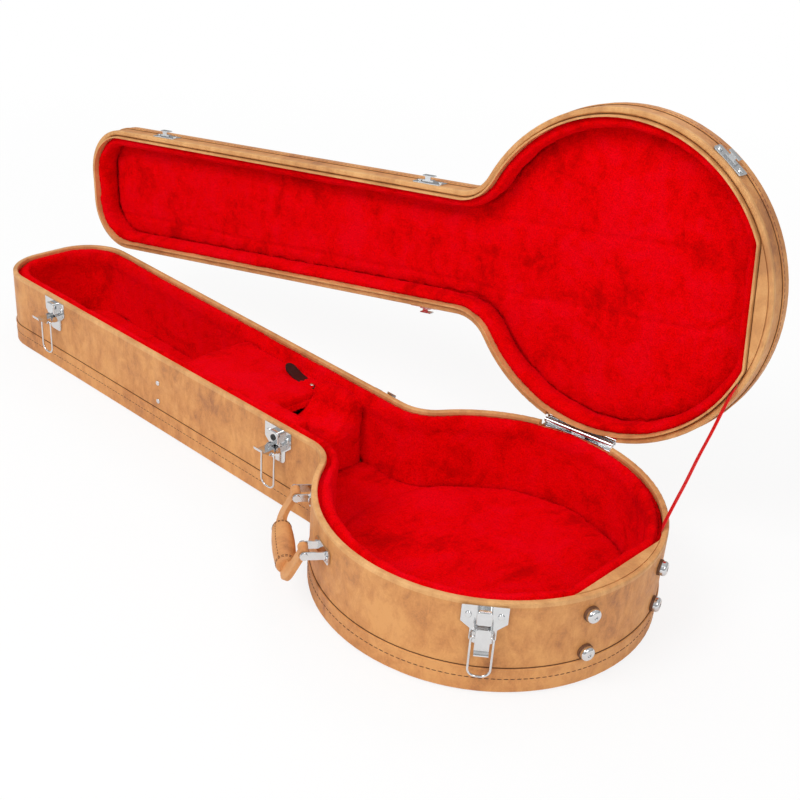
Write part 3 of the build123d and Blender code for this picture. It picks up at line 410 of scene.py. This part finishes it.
def addMesh(name, vertices, faces, material, body, smooth=True):
    mesh = bpy.data.meshes.new(name)
    mesh.from_pydata([tuple(v) for v in vertices], [], faces)
    if smooth:
        mesh.polygons.foreach_set("use_smooth", [True] * len(faces))
    mesh.materials.append(material)
    obj = bpy.data.objects.new(name, mesh)
    bpy.context.collection.objects.link(obj)
    if body:
        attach(obj, body)
    return obj


def bakeModifiers(obj):
    seen = obj.evaluated_get(bpy.context.evaluated_depsgraph_get())
    mesh = bpy.data.meshes.new_from_object(seen)
    obj.modifiers.clear()
    obj.data = mesh


# Plush pieces start as voxel copies of their solids and are then puffed, creased and roughened
puff = {"pressure": 4.0, "frames": 20}


def voxelCopy(name, sources, voxel, smoothing, swell=0.0):
    work = bmesh.new()
    for source in sources:
        work.from_mesh(nodes[source].data)
    bmesh.ops.remove_doubles(work, verts=work.verts, dist=0.01 * mm)
    mesh = bpy.data.meshes.new(name)
    work.to_mesh(mesh)
    work.free()
    obj = bpy.data.objects.new(name, mesh)
    bpy.context.collection.objects.link(obj)
    remesh = obj.modifiers.new("remesh", "REMESH")
    remesh.mode = "VOXEL"
    remesh.voxel_size = voxel
    relax = obj.modifiers.new("relax", "SMOOTH")
    relax.iterations = smoothing
    bakeModifiers(obj)
    if swell:
        eachVertex(obj, lambda place, normal: swell)
    return obj


def inflate(obj, cap, allow):
    # blow the cloth up, then keep each point within its cap and its allowed directions
    scene = bpy.context.scene
    before = [v.co.copy() for v in obj.data.vertices]
    cloth = obj.modifiers.new("cloth", "CLOTH")
    cloth.settings.use_pressure = True
    cloth.settings.uniform_pressure_force = puff["pressure"]
    cloth.settings.effector_weights.gravity = 0
    cloth.point_cache.frame_end = puff["frames"]
    for frameNumber in range(1, puff["frames"] + 1):
        scene.frame_set(frameNumber)
    bakeModifiers(obj)
    scene.frame_set(1)
    after = []
    for vertex, old in zip(obj.data.vertices, before):
        move = vertex.co - old
        if move.length > cap:
            move *= cap / move.length
        after.append(old + allow(old, move))
    placeAll(obj, after)


def placeAll(obj, places):
    obj.data.vertices.foreach_set("co", [part for place in places for part in place])
    obj.data.update()


def eachVertex(obj, change):
    # move each vertex along its normal by the returned distance
    moved = [v.co + v.normal * change(v.co, v.normal) for v in obj.data.vertices]
    placeAll(obj, moved)


tufting = {"lumpScale": 24, "tipScale": 310, "fineScale": 620, "fineShare": 0.6}


def roughen(obj, lump, fuzz, shift=0.0):
    # soft lumps of stuffing and the uneven tips of the pile
    offset = Vector((shift, 1.7 * shift, 0.3))

    def change(place, normal):
        spot = place + offset
        fine = tufting["fineShare"] * noise.noise(spot * tufting["fineScale"])
        tips = noise.noise(spot * tufting["tipScale"]) + fine
        return lump * noise.noise(spot * tufting["lumpScale"]) + fuzz * tips
    eachVertex(obj, change)


def subdivide(obj):
    finer = obj.modifiers.new("finer", "SUBSURF")
    finer.levels = 1
    bakeModifiers(obj)


def groove(distance, width, depth):
    return -depth * exp(-((distance / width) ** 2))


def dress(obj, material, body, slot, *replaced):
    obj.data.materials.clear()
    obj.data.materials.append(material)
    obj.data.polygons.foreach_set("use_smooth", [True] * len(obj.data.polygons))
    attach(obj, body)
    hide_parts(*replaced)
    return obj


rim = caseOutline()
rimTree = kdtree.KDTree(len(rim))
for index, (point, normal) in enumerate(rim):
    rimTree.insert((point.x, point.y, 0), index)
rimTree.balance()


def inward(place):
    # how far a closed-case point lies inside the outline, and the direction outward
    point, normal = rim[rimTree.find((place.x, place.y, 0))[1]]
    return (point - place.to_2d()).dot(normal), normal.to_3d()


lining = {
    "voxel": 5.0 * mm,
    "smoothing": 3,
    "swell": 0.5 * mm,
    "cap": 3.5 * mm,
    "backDepth": 14.0 * mm,
    "lipDepth": 12.0 * mm,
    "channelTop": 100.0 * mm,
    "lump": 0.9 * mm,
    "fuzz": 0.75 * mm,
}


def addWallLining(name, node, body, frameMatrix):
    obj = voxelCopy(name, [node], lining["voxel"], lining["smoothing"], lining["swell"])
    toClosed = frameMatrix.inverted()

    def allow(old, move):
        place = toClosed @ old
        depth, outward = inward(place)
        local = toClosed.to_3x3() @ move
        if depth < lining["backDepth"]:
            return Vector((0, 0, 0))
        local -= outward * max(0.0, local.dot(outward))
        local.z = 0
        return frameMatrix.to_3x3() @ local
    inflate(obj, lining["cap"], allow)
    subdivide(obj)
    roughen(obj, lining["lump"], lining["fuzz"])
    places = []
    for vertex in obj.data.vertices:
        place = toClosed @ vertex.co
        # the lid's lip comes down into this channel, so whole edges have to stay below it
        high = frameMatrix == asBuilt and place.z > lining["channelTop"]
        if high and inward(place)[0] < lining["lipDepth"]:
            place.z = lining["channelTop"]
        places.append(frameMatrix @ place)
    placeAll(obj, places)
    return dress(obj, plush, body, "plush_lining", node)


addWallLining("baseLining", "base_wall_lining", "base", asBuilt)
addWallLining("lidLining", "lid_wall_lining", "lid", openLid)
print("wall linings done")

floors = {
    "voxel": 2.0 * mm,
    "smoothing": 2,
    "swell": 0.7 * mm,
    "fuzz": 0.6 * mm,
    "lump": 0.4 * mm,
}


def addFlatLining(name, node, body="base"):
    obj = voxelCopy(name, [node], floors["voxel"], floors["smoothing"], floors["swell"])
    roughen(obj, floors["lump"], floors["fuzz"])
    return dress(obj, plush, body, "plush_lining", node)


for flatName, flatNode in (
    ("bowlFloor", "bowl_floor_lining"),
    ("neckFloor", "neck_floor_lining"),
    ("accessoryFloor", "accessory_floor_lining"),
    ("accessoryLedge", "accessory_lid_ledge"),
):
    addFlatLining(flatName, flatNode)
print("floor linings done")

bowlPad = {
    "voxel": 4.5 * mm,
    "smoothing": 3,
    "swell": 0.5 * mm,
    "cap": 4.0 * mm,
    "lump": 1.8 * mm,
    "fuzz": 0.7 * mm,
}


def addBowlPad(s):
    obj = voxelCopy("bowlPad", ["bowl_floor_pad"], s["voxel"], s["smoothing"], s["swell"])
    inflate(obj, s["cap"], lambda old, move: Vector((0, 0, max(0.0, move.z))))
    subdivide(obj)
    roughen(obj, s["lump"], s["fuzz"], 3.0)
    dress(obj, plush, "base", "plush_lining", "bowl_floor_pad")


addBowlPad(bowlPad)

cradle = {
    "voxel": 3.5 * mm,
    "smoothing": 2,
    "swell": 0.8 * mm,
    "cap": 5.0 * mm,
    "lump": 1.6 * mm,
    "fuzz": 0.9 * mm,
}


def addCradle(s):
    obj = voxelCopy("neckCradle", ["neck_cradle"], s["voxel"], s["smoothing"], s["swell"])
    inflate(obj, s["cap"], lambda old, move: Vector((move.x, 0, 0.4 * move.z)))
    subdivide(obj)
    roughen(obj, s["lump"], s["fuzz"], 5.0)
    dress(obj, plush, "base", "plush_lining", "neck_cradle")


addCradle(cradle)

partition = {
    "voxel": 2.4 * mm,
    "smoothing": 4,
    "swell": 0.6 * mm,
    "lump": 0.5 * mm,
    "fuzz": 0.6 * mm,
}


def addPartition(s):
    obj = voxelCopy("accessoryPartition", ["accessory_partition"], s["voxel"], s["smoothing"], s["swell"])
    roughen(obj, s["lump"], s["fuzz"], 7.0)
    dress(obj, plush, "base", "plush_lining", "accessory_partition")


addPartition(partition)

cover = {
    "voxel": 3.0 * mm,
    "smoothing": 1,
    "swell": 0.8 * mm,
    "cap": 2.0 * mm,
    "lump": 1.0 * mm,
    "fuzz": 0.6 * mm,
}


def addAccessoryCover(s):
    obj = voxelCopy("accessoryCover", ["accessory_lid"], s["voxel"], s["smoothing"], s["swell"])
    inflate(obj, s["cap"], lambda old, move: Vector((0, 0, max(0.0, move.z))))
    roughen(obj, s["lump"], s["fuzz"], 9.0)
    dress(obj, plush, "accessory_cover", "plush_lining", "accessory_lid")


addAccessoryCover(cover)

hingeCloth = {
    "voxel": 1.2 * mm,
    "smoothing": 2,
    "swell": 0.2 * mm,
    "lump": 0.1 * mm,
    "fuzz": 0.2 * mm,
}


def addHingeCloth(s):
    node = "accessory_hinge_cloth"
    obj = voxelCopy("accessoryHingeCloth", [node], s["voxel"], s["smoothing"], s["swell"])
    roughen(obj, s["lump"], s["fuzz"], 11.0)
    dress(obj, plush, "base", "plush_lining", node)


addHingeCloth(hingeCloth)
print("pads, cradle and accessory cover done")

# The lid pad keeps the marks that the photograph shows: a strip pressed in along the neck and cross folds
lidPad = {
    "voxel": 5.0 * mm,
    "smoothing": 3,
    "swell": 0.9 * mm,
    "cap": 4.0 * mm,
    "lump": 1.6 * mm,
    "fuzz": 0.7 * mm,
    "stripHalfWidth": 44.0 * mm,
    "stripEndX": 100.0 * mm,
    "foldFirstX": -157.0 * mm,
    "foldSpacing": 68.0 * mm,
    "foldCount": 5,
    "wander": 3 * mm,
    "wanderScale": 9,
    "stripSize": (3.2 * mm, 1.8 * mm),
    "foldSize": (3.0 * mm, 0.9 * mm),
}


def addLidPad(s):
    obj = voxelCopy("lidPad", ["lid_top_pad"], s["voxel"], s["smoothing"], s["swell"])
    lidAxes, closedAxes = openLid.to_3x3(), closedLid.to_3x3()
    inflate(obj, s["cap"], lambda old, move: lidAxes @ Vector((0, 0, min(0.0, (closedAxes @ move).z))))
    subdivide(obj)

    def marks(place, normal):
        flat = closedLid @ place
        wander = s["wander"] * noise.noise(flat * s["wanderScale"])
        pastEnd = max(0.0, flat.x - s["stripEndX"])
        edge = abs(sqrt(pastEnd**2 + flat.y**2) - s["stripHalfWidth"] + wander)
        amount = groove(edge, *s["stripSize"])
        for i in range(s["foldCount"]):
            across = flat.x - s["foldFirstX"] - i * s["foldSpacing"] + wander
            amount -= groove(across, *s["foldSize"])
        return amount
    eachVertex(obj, marks)
    roughen(obj, s["lump"], s["fuzz"], 11.0)
    dress(obj, plush, "lid", "plush_lining", "lid_top_pad")


addLidPad(lidPad)
print("lid pad done")

# Stitches and the lapped seam round both halves
stitching = {
    "length": 4.6 * mm,
    "pitch": 6.4 * mm,
    "radius": 0.55 * mm,
    "sides": 6,
    "sink": 0.15 * mm,
    "trackStep": 0.5 * mm,
    "lean": 0.05,
    "leanStep": 2.4,
}
capsuleRings = ((-0.5, 0.35), (-0.4, 0.85), (0.0, 1.0), (0.4, 0.85), (0.5, 0.35))
capsuleFlatness = 0.8


def capsule(vertices, faces, place, along, outward, length, radius, sides):
    side = along.cross(outward)
    first = len(vertices)
    for at, share in capsuleRings:
        for i in range(sides):
            angle = 2 * pi * i / sides
            ring = side * cos(angle) + outward * (sin(angle) * capsuleFlatness)
            vertices.append(place + along * (at * length) + ring * (radius * share))
    for r in range(len(capsuleRings) - 1):
        for i in range(sides):
            a = first + r * sides + i
            b = first + r * sides + (i + 1) % sides
            faces.append((a, b, b + sides, a + sides))
    faces.append(tuple(first + i for i in reversed(range(sides))))
    last = first + (len(capsuleRings) - 1) * sides
    faces.append(tuple(last + i for i in range(sides)))


def addStitchRow(name, z, grow, material, body, frameMatrix):
    s = stitching
    vertices, faces = [], []
    track = caseOutline(grow - s["sink"], s["trackStep"])
    track.append(track[0])
    walked, due = 0.0, 0.0
    count = 0
    for (here, normal), ahead in zip(track, track[1:]):
        there = ahead[0]
        gap = (there - here).length
        walked += gap
        if walked < due or gap == 0:
            continue
        due += s["pitch"]
        count += 1
        lean = s["lean"] * sin(count * s["leanStep"])
        along = (((there - here) / gap).to_3d() + up * lean).normalized()
        place = here.to_3d() + up * z
        sizes = s["length"], s["radius"], s["sides"]
        capsule(vertices, faces, place, along, normal.to_3d(), *sizes)
    addMesh(name, [frameMatrix @ v for v in vertices], faces, material, body)


def addRing(name, profile, material, body, frameMatrix, step=4 * mm):
    # a closed strip round the case, its section given as (outward, z) points
    track = caseOutline(0, step)
    count = len(track)
    vertices, faces = [], []
    for point, normal in track:
        for outward, z in profile:
            vertices.append(frameMatrix @ Vector((*(point + normal * outward), z)))
    n = len(profile)
    for i in range(count):
        j = (i + 1) % count
        for k in range(n):
            after = (k + 1) % n
            faces.append((i * n + k, i * n + after, j * n + after, j * n + k))
    return addMesh(name, vertices, faces, material, body)


bandFacts = {
    "proud": 1.2 * mm,
    "baseTop": 31.0 * mm,
    "baseStitch": 18.5 * mm,
    "lidLow": 131.0 * mm,
    "lidStitch": 135.0 * mm,
    "lineThin": 0.2 * mm,
    "lineHeight": 0.8 * mm,
    "lipSink": 0.9 * mm,
    "lipFlatness": 0.9,
}
addStitchRow("baseStitching", bandFacts["baseStitch"], bandFacts["proud"], thread, "base", asBuilt)
addStitchRow("lidStitching", bandFacts["lidStitch"], bandFacts["proud"], redThread, "lid", openLid)


def lapProfile(z, side):
    # the turned edge of the band: a dark strip of painted shade in the crease against the wall, with a rounded lip
    # beside it
    inner, outer = -bandFacts["lineThin"], 2 * bandFacts["lineThin"]
    top = z + side * bandFacts["lineHeight"]
    return [(inner, z), (inner, top), (outer, top), (outer, z)]


# painted shade: thin dark strips in the crease at the base band's top edge and the lid band's lower edge
addRing("baseSeamShadeStrip", lapProfile(bandFacts["baseTop"], 1), seamShade, "base", asBuilt)
addRing("lidSeamShadeStrip", lapProfile(bandFacts["lidLow"], -1), seamShade, "lid", openLid)


def lipProfile(z, side, radius=1.5 * mm, count=7):
    # half-round lip on the band's edge
    inner = bandFacts["proud"] - bandFacts["lipSink"]
    points = []
    for i in range(count):
        angle = -pi / 2 + pi * i / (count - 1)
        outer = inner + bandFacts["lipFlatness"] * radius * cos(angle)
        points.append((outer, z - side * radius + radius * sin(angle)))
    return points


addRing("baseBandLip", lipProfile(bandFacts["baseTop"], 1), covering, "base", asBuilt)
addRing("lidBandLip", lipProfile(bandFacts["lidLow"], -1), covering, "lid", openLid)
print("stitching and seams done")

# Plush backing in the crease between the lid pad and its wall lining
backing = {"outer": -13.0 * mm, "inner": -26.0 * mm, "high": 144.8 * mm, "low": 143.4 * mm}
backingProfile = [
    (backing["outer"], backing["high"]),
    (backing["outer"], backing["low"]),
    (backing["inner"], backing["low"]),
    (backing["inner"], backing["high"]),
]
crease = addRing("lidCreaseBacking", backingProfile, plush, "lid", openLid)
print("lid crease backing done")

# Seams of the handle: stitched wraps at both ends of the grip and a seam along its inside
handle = {
    "angle": -127.0,
    "drop": 35.0 * mm,
    "hang": 27.0,
    "gripHalfLength": 37.0 * mm,
    "gripRadius": 12.5 * mm,
    "gripEndRadius": 10.0 * mm,
    "wraps": (-33.2, -31.2, 31.2, 33.2),
    "wrapStitches": 16,
    "seamAngle": 200.0,
    "seamStitches": 13,
    "threadRadius": 0.45 * mm,
}


def gripRadiusAt(s, x):
    share = abs(x) / s["gripHalfLength"]
    return s["gripRadius"] + (s["gripEndRadius"] - s["gripRadius"]) * share**2


def addHandleSeams(s):
    angle = radians(s["angle"])
    outward = Vector((cos(angle), sin(angle), 0))
    along = outward.cross(up)
    swing = radians(s["hang"])
    hanging = outward * sin(swing) - up * cos(swing)
    centre = Vector(joints["handle_swing"]["pos_m"]) + hanging * s["drop"]
    aside = hanging.cross(along)
    vertices, faces = [], []
    for wrap in s["wraps"]:
        x = wrap * mm
        radius = gripRadiusAt(s, x)
        length = 2 * pi * radius / s["wrapStitches"] * 0.72
        for i in range(s["wrapStitches"]):
            turn = 2 * pi * i / s["wrapStitches"]
            spoke = aside * cos(turn) + hanging * sin(turn)
            tangent = hanging * cos(turn) - aside * sin(turn)
            place = centre + along * x + spoke * radius
            capsule(vertices, faces, place, tangent, spoke, length, s["threadRadius"], 6)
    seam = radians(s["seamAngle"])
    spoke = aside * cos(seam) + hanging * sin(seam)
    reach = 0.8 * s["gripHalfLength"]
    for i in range(s["seamStitches"]):
        x = reach * (2 * i / (s["seamStitches"] - 1) - 1)
        place = centre + along * x + spoke * gripRadiusAt(s, x)
        capsule(vertices, faces, place, along, spoke, 3.4 * mm, s["threadRadius"], 6)
    addMesh("handleStitches", vertices, faces, thread, "handle")


addHandleSeams(handle)
print("handle seams done")

# The lid's ribbon, a flat strip held tight between both rims
ribbon = {
    "angle": 30.0,
    "depth": 7.25 * mm,
    "startHeight": 108.15 * mm,
    "endHeight": 107.85 * mm,
    "slotWidth": 16.0 * mm,
    "thickness": 0.7 * mm,
    "steps": 40,
    "ripple": 0.25 * mm,
    "flat": (11.7 * mm, 169.5 * mm),
}


def addRibbon(s):
    angle = radians(s["angle"])
    outward = Vector((cos(angle), sin(angle), 0))
    slotLine = outward.cross(up)
    middle = outward * (outline["bowlRadius"] - s["depth"])
    start = middle + up * s["startHeight"]
    end = openLid @ (middle + up * s["endHeight"])
    endLine = openLid.to_3x3() @ slotLine
    run = (end - start).normalized()
    vertices, faces = [], []
    for i in range(s["steps"] + 1):
        t = i / s["steps"]
        across = slotLine.lerp(endLine, t)
        proud = across.cross(run).normalized()
        ripple = s["ripple"] * sin(5 * pi * t) * sin(pi * t)
        centre = start.lerp(end, t) + proud * ripple
        for side, face in ((-1, -1), (0, -1.15), (1, -1), (1, 1), (0, 1.15), (-1, 1)):
            edge = across * (side * s["slotWidth"] / 2)
            vertices.append(centre + edge + proud * (face * s["thickness"] / 2))
    n = 6
    for i in range(s["steps"]):
        for k in range(n):
            after = (k + 1) % n
            faces.append((i * n + k, i * n + after, (i + 1) * n + after, (i + 1) * n + k))
    faces.append(tuple(reversed(range(n))))
    faces.append(tuple(s["steps"] * n + k for k in range(n)))
    obj = addMesh("lidStayRibbon", vertices, faces, weave, None, smooth=False)
    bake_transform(obj)
    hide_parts("lid_ribbon")


addRibbon(ribbon)
print("ribbon done")
